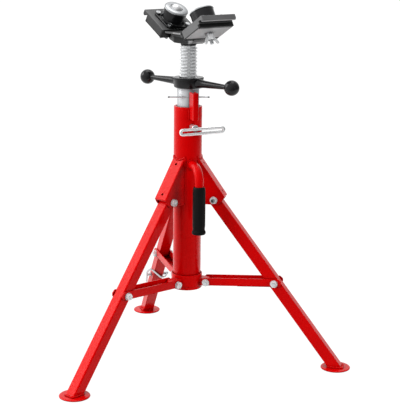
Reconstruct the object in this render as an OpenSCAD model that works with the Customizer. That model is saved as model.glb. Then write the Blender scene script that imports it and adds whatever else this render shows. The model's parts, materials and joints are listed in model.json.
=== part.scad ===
// Tripod pipe jack stand: folding three-legged base, pinned telescoping tube,
// screw jack with a cast handle nut, and a V head with two ball transfer units.
// Origin on the column's axis at floor level, +Z up, rear leg along +Y. Millimetres.

/* [Outer tube] */
// Outside diameter of the red outer tube
tube_od = 60.3; // [56:0.1:64]
// Wall of the outer tube
tube_wall = 5; // [3:0.5:5.5]
// Height of the outer tube's lower end above the floor
tube_bottom = 160; // [150:1:166]
// Length of the outer tube
tube_len = 400; // [396:1:404]
// Height of the stop ring welded round the tube's lower end
stop_h = 7; // [4:0.5:9]
// How far the stop ring stands out from the tube
stop_out = 3; // [2:0.25:5]

/* [Tripod] */
// Distance from the column's axis to the centre of each foot
foot_reach = 332; // [310:1:350]
// Diameter of a foot disc
foot_d = 64; // [50:1:80]
// Thickness of a foot disc
foot_t = 4; // [3:0.5:6]
// Width of the square leg tube
leg_w = 25; // [22:0.5:26]
// Wall of the leg tube
leg_wall = 2; // [1.5:0.25:3]
// Distance from the column's axis to the leg pivots
pivot_r = 61; // [58:0.5:64]
// Height of the leg pivots
pivot_z = 361; // [356:0.5:366]
// Length of leg above its pivot
leg_head = 15; // [13:0.5:17]
// Distance along the leg from its pivot to the brace bolt
brace_on_leg = 222; // [218:0.5:226]
// Side clearance between a leg or lug and the channel round it
side_gap = 0.5; // [0.3:0.1:1]
// Diameter of the pivot bolts
bolt_d = 8; // [6:0.5:10]
// Radial clearance of a bolt in a hole that turns on it
turn_gap = 0.08; // [0.03:0.01:0.1]

/* [Leg brackets] */
// Sheet thickness of the brackets
bracket_t = 3; // [2:0.25:4]
// Height at which the bracket's sloping plate meets the tube
bracket_top = 447; // [442:1:455]
// Height of the bracket's lower edge
bracket_bottom = 351; // [346:1:352]
// Radius of the bracket's outer corner
bracket_nose_r = 84.7; // [82:0.5:88]
// Height of the bracket's outer corner
bracket_nose_z = 369.4; // [366:0.5:373]
// Diameter of the two small holes in the sloping plate
drain_d = 5; // [3:0.5:7]

/* [Collar and braces] */
// Height of the sliding collar
collar_h = 26; // [22:1:30]
// Wall of the sliding collar
collar_wall = 3; // [2.5:0.25:4.5]
// Radial clearance of the collar on the tube
collar_gap = 0.4; // [0.3:0.1:0.8]
// Distance from the column's axis to the bolts in the collar's lugs
lug_r = 45.6; // [44:0.2:48]
// Height of the lug bolts above the collar's lower face
lug_rise = 9; // [8.5:0.5:12]
// Radius of a lug's round end
lug_end = 8; // [7:0.5:9]
// Sheet thickness of the braces
brace_t = 2.5; // [2:0.25:3]
// Depth of brace flange above its bolts
brace_up = 10.5; // [9:0.5:12]
// Depth of brace flange below its bolts
brace_down = 7; // [6.5:0.25:8]
// Length of brace flange past the leg bolt
brace_tail = 16; // [12:1:26]
// Length along the brace at which its floor starts
brace_floor_from = 14; // [12:1:20]
// Length along the brace at which its floor ends
brace_floor_to = 70; // [50:1:76]

/* [Carry handle] */
// Diameter of the bent handle tube
handle_d = 18.5; // [16:0.5:22]
// Wall of the bent handle tube
handle_wall = 2; // [1.5:0.25:3]
// Height of the handle's root on the outer tube
handle_z = 438; // [425:1:460]
// Distance from the column's axis to the grip's axis
handle_reach = 83; // [75:1:95]
// Bend radius of the handle tube
handle_bend = 31; // [28:1:40]
// Diameter of the rubber grip
grip_d = 27; // [25:0.5:32]
// Height of the grip's upper end
grip_top = 401; // [390:1:403]
// Length of the grip
grip_len = 102; // [90:1:120]

/* [Inner tube and lock pin] */
// Outside diameter of the inner tube
inner_od = 47; // [46:0.1:48.5]
// Wall of the inner tube
inner_wall = 3.5; // [3:0.1:3.6]
// Length of the inner tube
inner_len = 420; // [410:1:430]
// How far the inner tube stands out of the outer tube
inner_show = 37; // [36:1:45]
// Distance between the height holes
hole_pitch = 50; // [45:1:55]
// Number of height holes
hole_count = 7; // [5:1:7]
// Distance of the lock pin below the top of the outer tube
pin_below = 40.6; // [38:0.5:44]
// Diameter of the lock pin
pin_d = 12; // [10:0.5:13]
// Diametral play of the lock pin in its holes
pin_play = 0.6; // [0.4:0.1:1]
// Diameter of the rod bent into the pin's handle
ring_rod = 6.5; // [6:0.5:8]
// Length of the pin's handle
ring_len = 101; // [85:1:108]
// Height of the pin's handle
ring_h = 16.5; // [15.5:0.5:24]
// How far the handle is offset sideways from the pin
ring_shift = 14.5; // [0:0.5:20]
// How far the handle's loop is offset downwards from the pin
ring_drop = 6; // [2:0.5:8]
// Turn of the handle about the pin's axis
ring_turn = 2; // [-5:0.5:5]
// Distance from the column's axis to the pin's handle
ring_out = 56; // [50:1:65]

/* [Pin guard] */
// Width of the guard channel
guard_w = 12.5; // [10:0.5:16]
// Depth of the guard channel
guard_depth = 27; // [18:1:30]
// Height of the guard channel
guard_h = 57; // [45:1:58]
// Distance of the guard's top above the top of the outer tube
guard_above = 33; // [20:1:34]
// Wall of the guard channel
guard_wall = 3; // [2:0.5:4]

/* [Screw and handle nut] */
// Outside diameter of the jack screw
screw_d = 38; // [36:0.1:38.5]
// How far the screw reaches down into the inner tube
screw_in_tube = 20; // [19:0.5:22]
// Height of the bare screw between the nut and the head
screw_show = 67; // [60:1:75]
// Width of the keyway down the screw
keyway_w = 5.6; // [5:0.1:7]
// Depth of the keyway
keyway_depth = 3.8; // [3:0.1:5]
// Direction in which the keyway faces
keyway_turn = -104; // [-115:1:-95]
// Radial clearance of the screw in the nut
thread_gap = 0.35; // [0.3:0.05:0.5]
// Thickness of the thrust washer under the nut
washer_t = 2; // [1.5:0.25:3]
// Diameter of the nut's hub
nut_d = 66; // [58:1:70]
// Height of the nut's hub
nut_h = 22; // [18:1:24]
// Distance from the axis to the centre of each knob
knob_reach = 125; // [110:1:150]
// Diameter of the ball knobs
knob_d = 32; // [26:1:36]
// Diameter of the arms at the hub
arm_d = 18; // [14:0.5:20]
// Diameter of the arms at the knobs
arm_tip_d = 10; // [8:0.5:14]
// Direction of the arm that points to the front
nut_turn = -62; // [-90:1:-40]

/* [Screw key] */
// Diameter of the cross rod that holds the key
rod_d = 3.6; // [3:0.1:4]
// Length of the cross rod
rod_len = 88; // [70:1:95]
// Distance of the cross rod below the inner tube's top
rod_below = 15.6; // [14:0.2:20]
// Height of the key
key_h = 18; // [12:1:22]
// Running clearance of the key in the keyway
key_gap = 0.3; // [0.2:0.05:0.4]

/* [V head] */
// Direction of the pipe's axis across the head
head_turn = 20.4; // [-45:0.1:45]
// Length of the head along the pipe
head_len = 88; // [78:1:100]
// Half the width of the flat valley
valley_half = 30; // [27:0.5:34]
// Slope of the wings
wing_slope = 30; // [26:0.5:34]
// Length of a wing up its slope
wing_len = 78; // [74:1:84]
// Thickness of a wing's plate and lip
wing_t = 6; // [4:0.5:7]
// Depth of the solid block under a wing
block_depth = 20.4; // [16:0.2:22]
// Length of the solid block up the slope
block_len = 64; // [58:1:68]
// Depth of a wing's outer lip
lip_depth = 12; // [9:0.5:14]
// Height of the valley above the underside of the head's hub
valley_rise = 31; // [29:0.5:34]
// Outside diameter of the head's hub
hub_d = 33; // [31:0.5:37]
// Diameter of the spigot that the head turns on
spigot_d = 24; // [20:0.5:26]
// Length of the spigot
spigot_len = 22; // [16:1:24]
// Width of the yoke along the pipe
yoke_w = 40; // [34:1:50]

/* [Ball transfer units] */
// Distance of a unit's axis up the wing
unit_up = 32; // [31:0.5:36]
// Size of a unit's square flange
unit_flange = 60; // [54:1:62]
// Thickness of a unit's flange
unit_flange_t = 4; // [3:0.5:5]
// Diameter of a unit's cup
cup_d = 50; // [42:0.5:52]
// Height of a unit over the wing, without its ball
unit_h = 33; // [28:0.5:36]
// Diameter of the load ball
ball_d = 30; // [25:0.5:32]
// How far the ball stands out of its cap
ball_show = 6; // [4:0.5:8]
// Clearance round the ball
ball_gap = 0.3; // [0.3:0.05:0.5]
// Distance between a flange's screws
screw_pitch = 47; // [42:0.5:48]
// Diameter of the stud under a unit
stud_d = 8; // [6:0.5:10]
// Length of the stud below the wing's top face
stud_len = 44; // [42:1:50]

/* [Leg lock pin] */
// Distance of the lock pin along the leg from the leg's pivot
wire_on_leg = 304; // [302:1:320]
// Diameter of the wire pin's shank
wire_pin_d = 8; // [6:0.5:9]
// Diameter of its wire bow
wire_d = 4.4; // [3.5:0.1:5]
// How far the bow reaches up the leg from the shank
wire_bow = 42; // [36:1:44]
// How far the bow's hook reaches down the leg past the shank
wire_hook = 24; // [18:1:30]
// How far the pin stands out past each side of the leg
wire_side = 14.5; // [12:0.5:16]

/* [Hidden] */
$fn = 64;
eps = 0.01;
LEGS = ["rear", "left", "right"];
leg_az = [90, 210, 330];
tube_r = tube_od / 2;
tube_top = tube_bottom + tube_len;
leg_tilt = atan2(pivot_z - foot_t, foot_reach - pivot_r);
along = [cos(leg_tilt), -sin(leg_tilt)];
outward = [sin(leg_tilt), cos(leg_tilt)];
pivot = [pivot_r, pivot_z];
channel_in = leg_w / 2 + side_gap;
brace_bolt = pivot + brace_on_leg * along;
collar_z = tube_bottom + stop_h;
collar_r = tube_r + collar_gap + collar_wall;
lug_bolt = [lug_r, collar_z + lug_rise];
brace_span = brace_bolt - lug_bolt;
brace_len = norm(brace_span);
brace_tilt = atan2(brace_span[1], brace_span[0]);
nose = [bracket_nose_r, bracket_nose_z];
plate_run = nose - [tube_r, bracket_top];
plate_dir = plate_run / norm(plate_run);
plate_normal = [-plate_dir[1], plate_dir[0]];
hex_af = bolt_d * 1.625;
hex_r = hex_af / 2 / cos(30);
head_h = bolt_d * 0.65;
washer_r = bolt_d;
bolt_washer_t = 1.6;
hole_r = bolt_d / 2 + turn_gap;
pin_z = tube_top - pin_below;
pin_hole_r = (pin_d + pin_play) / 2;
inner_top = tube_top + inner_show;
inner_r = inner_od / 2;
inner_bore = inner_r - inner_wall;
screw_r = screw_d / 2;
screw_bottom = inner_top - screw_in_tube;
nut_z = inner_top + washer_t;
hub_z = nut_z + nut_h + screw_show;
key_w = keyway_w - 2 * key_gap;
key_floor = screw_r - keyway_depth;
rod_z = inner_top - rod_below;
rod_r_at = inner_r - 1.3;
valley_z = hub_z + valley_rise;
cap_t = 5;
cap_r = cup_d / 2 + 1;
ball_r = ball_d / 2;
ball_z = unit_h + ball_show - ball_r;
wing_nut_z = -block_depth - 4;

// Turns children from the +X side to the side of leg i
module at_leg(i) rotate([0, 0, leg_az[i]]) children();

// Stands a profile drawn as (radius, height) upright, w thick across the middle plane
module upright(w) rotate([90, 0, 0]) linear_extrude(w, center = true) children();

// Cylinder across a leg at a (radius, height) point, between two distances from the middle plane
module across(at, r, from, to, sides = 0)
    translate([at[0], 0, at[1]]) rotate([-90, 0, 0]) translate([0, 0, from])
        cylinder(r = r, h = to - from, $fn = sides == 0 ? $fn : sides);

// Shank, heads and washers of a bolt through something half_w wide each side
module cross_bolt(at, half_w) {
    tip = half_w + bolt_washer_t + head_h;
    across(at, bolt_d / 2, -tip - 2, tip);
    for (s = [-1, 1]) {
        a = s * half_w;
        b = s * (half_w + bolt_washer_t);
        across(at, washer_r, min(a, b), max(a, b));
        c = s * tip;
        across(at, hex_r, min(b, c), max(b, c), 6);
    }
}

// Side view of the leg, side_w wide, cut level at the foot
module leg_profile(side_w, extra = 0) {
    half = side_w / 2;
    head = leg_head + extra;
    drop = pivot_z - foot_t + extra;
    lower = [for (s = [1, -1]) (drop + s * half * cos(leg_tilt)) / sin(leg_tilt)];
    polygon([
        pivot - head * along + half * outward,
        pivot + lower[0] * along + half * outward,
        pivot + lower[1] * along - half * outward,
        pivot - head * along - half * outward
    ]);
}

module leg(i) color("crimson") at_leg(i) difference() {
    upright(leg_w) leg_profile(leg_w);
    upright(leg_w - 2 * leg_wall) leg_profile(leg_w - 2 * leg_wall, 1);
    across(pivot, hole_r, -leg_w, leg_w);
    across(brace_bolt, hole_r, -leg_w, leg_w);
    if (i == 0) across(pivot + wire_on_leg * along, wire_pin_d / 2 + turn_gap, -leg_w, leg_w);
}

module foot(i) color("crimson") at_leg(i) translate([foot_reach, 0, 0]) {
    cylinder(d = foot_d - 2, h = 1);
    translate([0, 0, 1]) cylinder(d = foot_d, h = foot_t - 1);
}

module outer_tube() color("red") difference() {
    translate([0, 0, tube_bottom]) cylinder(r = tube_r, h = tube_len);
    translate([0, 0, tube_bottom - 1]) cylinder(r = tube_r - tube_wall, h = tube_len + 2);
    translate([0, 0, pin_z]) rotate([90, 0, 0]) cylinder(r = pin_hole_r, h = tube_od, center = true);
}

module stop_ring() color("firebrick") translate([0, 0, tube_bottom]) difference() {
    union() {
        cylinder(r1 = tube_r + stop_out - 1, r2 = tube_r + stop_out, h = 1);
        translate([0, 0, 1]) cylinder(r = tube_r + stop_out, h = stop_h - 1);
    }
    translate([0, 0, -1]) cylinder(r = tube_r, h = stop_h + 2);
}

module bracket(i) color("red") at_leg(i) difference() {
    upright(2 * (channel_in + bracket_t)) bracket_side();
    upright(2 * channel_in) translate(-bracket_t * plate_normal) bracket_pocket();
    cylinder(r = tube_r, h = tube_top);
    across(pivot, hole_r, -leg_w, leg_w);
    for (f = [0.11, 0.87])
        translate([tube_r + f * plate_run[0], 0, bracket_top + f * plate_run[1]])
            rotate([0, leg_plate_tilt(), 0]) cylinder(d = drain_d, h = 4 * bracket_t, center = true);
}

// Angle that stands a cylinder square to the sloping plate
function leg_plate_tilt() = atan2(plate_normal[0], plate_normal[1]);

// Side view of a bracket's cheeks
module bracket_side() {
    back = [tube_r, bracket_top] - 14 * plate_dir;
    polygon([back, nose, nose - [5, 9], [pivot_r + 9, bracket_bottom], [back[0], bracket_bottom]]);
}

// Side view of the channel inside a bracket, open below and at the nose
module bracket_pocket() {
    back = [tube_r, bracket_top] - 14 * plate_dir;
    far = nose + 12 * plate_dir;
    polygon([back, far, [far[0], bracket_bottom - 20], [0, bracket_bottom - 20], [0, back[1]]]);
}

module pivot_bolt(i) color("silver") at_leg(i) cross_bolt(pivot, channel_in + bracket_t);

module pin_guard() color("crimson") difference() {
    translate([-guard_w / 2, -tube_r - guard_depth, tube_top + guard_above - guard_h])
        cube([guard_w, guard_depth + 10, guard_h]);
    translate([-guard_w / 2 + guard_wall, -tube_r - guard_depth + guard_wall, 0])
        cube([guard_w - 2 * guard_wall, guard_depth + 20, tube_top + guard_above + 1]);
    cylinder(r = tube_r, h = tube_top + guard_above + 1);
}

// Runs a ring section along the carry handle: out of the tube, round the bend and down
module handle_run(r, down_to) {
    out = handle_reach - handle_bend;
    translate([0, 0, handle_z]) rotate([90, 0, 0]) cylinder(r = r, h = out);
    translate([0, -out, handle_z - handle_bend]) rotate([90, 0, -90])
        rotate_extrude(angle = 90) translate([handle_bend, 0]) circle(r = r);
    translate([0, -handle_reach, down_to]) cylinder(r = r, h = handle_z - handle_bend - down_to);
}

module carry_handle() color("red") difference() {
    handle_run(handle_d / 2, grip_top - grip_len + 4);
    handle_run(handle_d / 2 - handle_wall, grip_top - grip_len + 3);
    cylinder(r = tube_r, h = tube_top);
}

module handle_grip() color("black") translate([0, -handle_reach, grip_top - grip_len]) difference() {
    rotate_extrude() polygon([
        [0, 0], [grip_d / 2 - 0.5, 0], [grip_d / 2 + 1.2, 2], [grip_d / 2 + 1.2, 6],
        [grip_d / 2 - 0.8, 9], [grip_d / 2 - 0.8, 12], [grip_d / 2, 16],
        [grip_d / 2, grip_len - 3], [grip_d / 2 - 2, grip_len], [0, grip_len]
    ]);
    translate([0, 0, 4]) cylinder(d = handle_d, h = grip_len);
}

module collar() color("red") difference() {
    union() {
        translate([0, 0, collar_z]) cylinder(r = collar_r, h = collar_h);
        for (i = [0:2]) at_leg(i) upright(leg_w) lug_profile();
    }
    translate([0, 0, collar_z - 1]) cylinder(r = tube_r + collar_gap, h = collar_h + 2);
    for (i = [0:2]) at_leg(i) across(lug_bolt, hole_r, -leg_w, leg_w);
}

// Side view of a collar lug: a bar with a round end at the bolt
module lug_profile() {
    translate([tube_r, lug_bolt[1] - lug_end]) square([lug_r - tube_r, 2 * lug_end]);
    translate(lug_bolt) circle(r = lug_end);
}

module lug_bolt_of(i) color("silver") at_leg(i) cross_bolt(lug_bolt, channel_in + brace_t);

// Places children with the origin at the lug bolt and +X along the brace
module on_brace(i) at_leg(i) translate([lug_bolt[0], 0, lug_bolt[1]]) rotate([0, -brace_tilt, 0]) children();

// Side view of a brace flange, with its ends drawn in
module brace_profile() polygon([
    [-9, -brace_down + 3], [-6, -brace_down], [brace_len + brace_tail - 5, -brace_down],
    [brace_len + brace_tail, -brace_down + 5], [brace_len + brace_tail, brace_up - 6],
    [brace_len + brace_tail - 6, brace_up], [-4, brace_up], [-9, brace_up - 5]
]);

module brace(i) color("crimson") on_brace(i) difference() {
    upright(2 * (channel_in + brace_t)) brace_profile();
    difference() {
        translate([-brace_len / 2, -channel_in, -brace_len / 2])
            cube([2 * brace_len + brace_tail, 2 * channel_in, brace_len]);
        translate([brace_floor_from, -channel_in, -brace_down])
            cube([brace_floor_to - brace_floor_from, 2 * channel_in, brace_t]);
    }
    across([0, 0], hole_r, -leg_w, leg_w);
    across([brace_len, 0], hole_r, -leg_w, leg_w);
}

// Heads and short shanks of the leg-end bolt, held by the flanges clear of the leg
module brace_bolt_of(i) color("silver") on_brace(i) difference() {
    cross_bolt([brace_len, 0], channel_in + brace_t);
    across([brace_len, 0], 2 * washer_r, -channel_in, channel_in);
}

// Round bar from a to b with round ends
module bar(a, b, r) {
    d = b - a;
    translate(a) rotate([0, acos(d[2] / norm(d)), atan2(d[1], d[0])]) cylinder(r = r, h = norm(d));
    for (p = [a, b]) translate(p) sphere(r = r + 0.06);
}

// Wire pin through the rear leg: a shank with a bow that wraps the leg's inner side and hooks over its tip
module leg_lock_pin() color("gainsboro") at_leg(0)
    translate([pivot[0] + wire_on_leg * along[0], 0, pivot[1] + wire_on_leg * along[1]])
    rotate([0, leg_tilt, 0]) {
        side = leg_w / 2;
        wrap = side + 0.9 * wire_d;
        path = [
            [0, -side - wire_side, 0], [-2 * wire_d, -wrap, -wrap], [-1.5 * wire_d, -side / 2, -wrap],
            [-wire_bow, side + 0.8 * wire_side, 0.5 * wire_d - wrap],
            [-0.4 * wire_bow, side + wire_side, -wire_d], [wire_hook, side + 0.6 * wire_side, -wire_d / 2]
        ];
        translate([0, side + 0.85 * wire_side, 0]) rotate([90, 0, 0])
            cylinder(d = wire_pin_d, h = leg_w + 2 * wire_side);
        for (k = [0:len(path) - 2]) bar(path[k], path[k + 1], wire_d / 2);
    }

// Shank through both tubes with a rod bent into a long loop for a handle
module lock_pin() color("gainsboro") {
    tip = tube_r + 3;
    rod = ring_rod / 2;
    rise = ring_h / 2 - rod;
    half = ring_len / 2 - ring_h / 2;
    translate([0, tip, pin_z]) rotate([90, 0, 0]) {
        cylinder(r1 = pin_d / 2 - 1.5, r2 = pin_d / 2, h = 2);
        translate([0, 0, 2]) cylinder(d = pin_d, h = tip - 2 + ring_out - rod / 2);
    }
    translate([0, -ring_out, pin_z]) rotate([0, -ring_turn, 0]) translate([ring_shift, 0, -ring_drop])
        rotate([90, 0, 0]) {
        for (s = [-1, 1]) {
            translate([-half, s * rise, 0]) rotate([0, 90, 0]) cylinder(r = rod, h = 2 * half);
            translate([s * half, 0, 0]) rotate([0, 0, s * 90 + 180])
                rotate_extrude(angle = 180) translate([rise, 0]) circle(r = rod);
        }
    }
}

module inner_tube() color("silver") difference() {
    translate([0, 0, inner_top - inner_len]) cylinder(r = inner_r, h = inner_len);
    translate([0, 0, inner_top - inner_len - 1]) cylinder(r = inner_bore, h = inner_len + 2);
    for (k = [0:hole_count - 1]) translate([0, 0, pin_z - k * hole_pitch])
        rotate([90, 0, 0]) cylinder(r = pin_hole_r, h = tube_od, center = true);
    at_key() translate([inner_bore - 2, -key_w / 2 - 0.1, -key_h / 2 - 0.1])
        cube([10, key_w + 0.2, key_h + 0.2]);
    at_key() translate([rod_r_at, 0, 0]) rotate([90, 0, 0]) cylinder(d = rod_d + 0.2, h = tube_od, center = true);
}

// Places children at the height of the cross rod with +X towards the keyway
module at_key() rotate([0, 0, keyway_turn]) translate([0, 0, rod_z]) children();

module screw_key() color("dimgray") at_key() difference() {
    translate([key_floor + key_gap, -key_w / 2, -key_h / 2])
        cube([inner_r - 0.3 - key_floor - key_gap, key_w, key_h]);
    translate([rod_r_at, 0, 0]) rotate([90, 0, 0]) cylinder(d = rod_d + 0.2, h = tube_od, center = true);
}

module key_rod() color("gainsboro") at_key() translate([rod_r_at, 0, 0]) rotate([90, 0, 0])
    cylinder(d = rod_d, h = rod_len, center = true);

module thrust_washer() color("silver") translate([0, 0, inner_top]) difference() {
    cylinder(r = inner_r + 1.5, h = washer_t);
    translate([0, 0, -1]) cylinder(r = screw_r + 0.8, h = washer_t + 2);
}

// Cast nut with two tapering arms and ball knobs
module handle_nut() color("dimgray") translate([0, 0, nut_z]) difference() {
    union() {
        rotate_extrude() polygon([
            [0, 0], [nut_d / 2 - 4, 0], [nut_d / 2 - 1, 3], [nut_d / 2, nut_h - 4],
            [nut_d / 2 - 2, nut_h], [0, nut_h]
        ]);
        for (s = [0, 180]) rotate([0, 0, nut_turn + s]) {
            translate([nut_d / 2 - 8, 0, nut_h / 2]) rotate([0, 90, 0])
                cylinder(d1 = arm_d, d2 = arm_tip_d, h = knob_reach - nut_d / 2 + 8);
            translate([knob_reach, 0, nut_h / 2]) sphere(d = knob_d);
        }
    }
    translate([0, 0, -1]) cylinder(r = screw_r + thread_gap, h = nut_h + 2);
}

module jack_screw() color("silver") difference() {
    union() {
        translate([0, 0, screw_bottom]) cylinder(r1 = screw_r - 1.5, r2 = screw_r, h = 1.5);
        translate([0, 0, screw_bottom + 1.5]) cylinder(r = screw_r, h = hub_z - screw_bottom - 1.5);
        translate([0, 0, hub_z - 1]) cylinder(d = spigot_d, h = spigot_len + 1);
    }
    rotate([0, 0, keyway_turn]) translate([key_floor, -keyway_w / 2, screw_bottom - 1])
        cube([screw_r, keyway_w, hub_z - screw_bottom + 0.5]);
}

// Turns children to the pipe's direction, +X along the pipe, origin in the valley
module at_head() rotate([0, 0, head_turn]) translate([0, 0, valley_z]) children();

// Half a side view of the yoke, as (across, height) from the valley: it runs down the
// inner end of the wing's block and out along a part of its underside
module yoke_half() {
    c = cos(wing_slope);
    s = sin(wing_slope);
    corner = [valley_half + block_depth * s, -block_depth * c];
    tip = corner + 6 * [c, s];
    polygon([
        [0, -wing_t / 3], [valley_half - 3, -wing_t / 3], [valley_half - 3, -wing_t],
        [valley_half + wing_t * s, -wing_t * c], corner, tip, tip - [4, 6],
        [24, 4 - valley_rise], [0, 4 - valley_rise]
    ]);
}

module head_yoke() color("dimgray") at_head() difference() {
    union() {
        for (s = [0, 1]) mirror([0, s, 0]) rotate([90, 0, 90])
            linear_extrude(yoke_w, center = true) yoke_half();
        translate([-head_len / 2 + 2, 3 - valley_half, -wing_t]) cube([head_len - 4, 2 * valley_half - 6, wing_t * 2 / 3]);
        translate([0, 0, -valley_rise]) cylinder(d = hub_d, h = valley_rise - wing_t);
    }
    translate([0, 0, -valley_rise - 1]) cylinder(d = spigot_d + 2 * turn_gap, h = spigot_len + 1.5);
}

// Side 1 is the left wing and side -1 the right one: origin on its lower edge, +Y up its slope
module on_wing(side) at_head() mirror([0, side > 0 ? 0 : 1, 0])
    translate([0, valley_half, 0]) rotate([wing_slope, 0, 0]) children();

// Places children on the axis of a wing's ball transfer unit, +Z square to the wing
module on_unit(side) on_wing(side) translate([0, unit_up, 0]) children();

// Casting with a solid block under its plate, then a groove and a lip along its outer edge
module wing(side) color("gray") on_wing(side) difference() {
    rotate([90, 0, 90]) linear_extrude(head_len, center = true) polygon([
        [0, 0], [wing_len, 0], [wing_len, 3 - lip_depth], [wing_len - 3, -lip_depth],
        [wing_len - wing_t, -lip_depth], [wing_len - wing_t, -wing_t], [block_len, -wing_t],
        [block_len, -block_depth], [0, -block_depth]
    ]);
    translate([0, unit_up, 0]) {
        cylinder(d = stud_d + 1, h = 3 * block_depth, center = true);
        for (x = [-1, 1], y = [-1, 1]) translate([x * screw_pitch / 2, y * screw_pitch / 2, -12])
            cylinder(d = 6.2, h = 20);
    }
}

// Cup of a ball transfer unit on its square flange, hollow for the ball
module cup(side) color("black") on_unit(side) difference() {
    union() {
        half = unit_flange / 2;
        c = 5;
        linear_extrude(unit_flange_t) polygon([
            [-half + c, -half], [half - c, -half], [half, -half + c], [half, half - c],
            [half - c, half], [-half + c, half], [-half, half - c], [-half, -half + c]
        ]);
        cylinder(d = cup_d, h = unit_h - cap_t);
    }
    translate([0, 0, ball_z]) sphere(r = ball_r + ball_gap);
    translate([0, 0, unit_h - cap_t - 3]) cylinder(r = ball_r + ball_gap, h = 10);
    for (x = [-1, 1], y = [-1, 1]) translate([x * screw_pitch / 2, y * screw_pitch / 2, -1])
        cylinder(d = 6.2, h = unit_flange_t + 2);
}

// Pressed steel cap that keeps the ball in its cup
module cap(side) color("silver") on_unit(side) difference() {
    translate([0, 0, unit_h - cap_t]) rotate_extrude() polygon([
        [0, 0], [cap_r, 0], [cap_r, cap_t - 3], [cap_r - 3, cap_t - 0.8], [cap_r - 6, cap_t], [0, cap_t]
    ]);
    translate([0, 0, ball_z]) sphere(r = ball_r + ball_gap);
}

module ball(side) color("white") on_unit(side) translate([0, 0, ball_z]) sphere(r = ball_r);

// Four hex-headed screws that hold a unit's flange to its wing
module unit_screws(side) color("silver") on_unit(side)
    for (x = [-1, 1], y = [-1, 1]) translate([x * screw_pitch / 2, y * screw_pitch / 2, 0]) {
        translate([0, 0, -11]) cylinder(d = 6, h = 12 + unit_flange_t);
        translate([0, 0, unit_flange_t]) cylinder(d = 11.5, h = 4, $fn = 6);
    }

// Stud under a unit, with the hex spacer that its wing nut tightens on
module unit_stud(side) color("silver") on_unit(side) {
    translate([0, 0, -stud_len]) cylinder(d = stud_d, h = stud_len);
    translate([0, 0, wing_nut_z]) cylinder(d = 17, h = -block_depth - wing_nut_z, $fn = 6);
}

// Wing nut: a round boss and two raked wings
module wing_nut(side) color("silver") on_unit(side) translate([0, 0, wing_nut_z]) difference() {
    union() {
        translate([0, 0, -11]) cylinder(d1 = 13, d2 = 16, h = 11);
        for (s = [0, 180]) rotate([0, 0, s]) rotate([90, 0, 0]) linear_extrude(3.4, center = true)
            polygon([[4, -9], [8, -2], [13, -7], [19, -16], [17, -20], [13, -19], [9, -12]]);
    }
    translate([0, 0, -20]) cylinder(r = stud_d / 2 + turn_gap, h = 30);
}

outer_tube();
stop_ring();
pin_guard();
carry_handle();
handle_grip();
for (i = [0:2]) {
    bracket(i);
    pivot_bolt(i);
    leg(i);
    foot(i);
    lug_bolt_of(i);
    brace(i);
    brace_bolt_of(i);
}
collar();
leg_lock_pin();
lock_pin();
inner_tube();
screw_key();
key_rod();
thrust_washer();
handle_nut();
jack_screw();
head_yoke();
wing(1);  // wing_left
wing(-1);  // wing_right
cup(1);  // cup_left
cup(-1);  // cup_right
cap(1);  // cap_left
cap(-1);  // cap_right
ball(1);  // ball_left
ball(-1);  // ball_right
unit_screws(1);  // unit_screws_left
unit_screws(-1);  // unit_screws_right
unit_stud(1);  // unit_stud_left
unit_stud(-1);  // unit_stud_right
wing_nut(1);  // wing_nut_left
wing_nut(-1);  // wing_nut_right
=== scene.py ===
"""Looks of the folding tripod pipe stand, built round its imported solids. Metres, +Z up."""

import json

import bmesh
import bpy
import numpy as np
from mathutils import Matrix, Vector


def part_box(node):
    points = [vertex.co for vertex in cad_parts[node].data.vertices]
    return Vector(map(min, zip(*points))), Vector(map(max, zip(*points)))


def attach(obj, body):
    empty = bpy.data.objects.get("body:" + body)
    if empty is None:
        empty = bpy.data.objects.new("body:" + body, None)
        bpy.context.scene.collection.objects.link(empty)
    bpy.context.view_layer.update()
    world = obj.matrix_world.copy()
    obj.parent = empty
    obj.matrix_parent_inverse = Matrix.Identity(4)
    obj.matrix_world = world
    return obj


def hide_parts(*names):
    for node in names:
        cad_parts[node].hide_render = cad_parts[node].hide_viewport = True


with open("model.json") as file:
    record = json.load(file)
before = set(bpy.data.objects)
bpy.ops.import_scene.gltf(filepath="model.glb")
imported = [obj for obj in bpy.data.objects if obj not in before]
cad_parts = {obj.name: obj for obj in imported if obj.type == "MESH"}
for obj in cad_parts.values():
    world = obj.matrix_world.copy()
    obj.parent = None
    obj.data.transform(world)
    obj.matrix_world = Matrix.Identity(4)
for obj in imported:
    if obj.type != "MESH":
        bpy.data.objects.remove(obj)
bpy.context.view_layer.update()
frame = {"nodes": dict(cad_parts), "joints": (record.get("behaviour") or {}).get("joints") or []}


# Viewpoint of the photograph: a long lens about a metre up and two and a half metres
# off, turned 17 degrees clockwise from the side that the lock pin is on.
def turned(turn):
    """Unit axes, as rows, of a frame turned about the Z axis."""
    return np.array([[np.cos(turn), np.sin(turn), 0], [-np.sin(turn), np.cos(turn), 0], [0, 0, 1]])


focal_px, frame_px = 1201.63, 400
eye = np.array([0.00241, -2.52961, 0.93934])
pitch, yaw, roll = 0.228794, 0.009883, -0.010360
to_part = turned(np.radians(-17.3)).T
level = np.array([np.cos(yaw), -np.sin(yaw), 0.0])
ahead = np.array([np.sin(yaw) * np.cos(pitch), np.cos(yaw) * np.cos(pitch), -np.sin(pitch)])
upright = np.cross(level, ahead)
across_image = np.cos(roll) * level - np.sin(roll) * upright
up_image = np.sin(roll) * level + np.cos(roll) * upright


def stand_at(thing, place, axes):
    """Sets an object's place and its three unit axes, given as rows, in the photograph's frame."""
    pose = np.eye(4)
    pose[:3, :3] = to_part @ np.array(axes).T
    pose[:3, 3] = to_part @ np.array(place)
    thing.matrix_world = Matrix(pose.tolist())


def linked(name, data):
    """A new object that holds this data, linked to the scene."""
    made = bpy.data.objects.new(name, data)
    bpy.context.scene.collection.objects.link(made)
    return made


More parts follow.
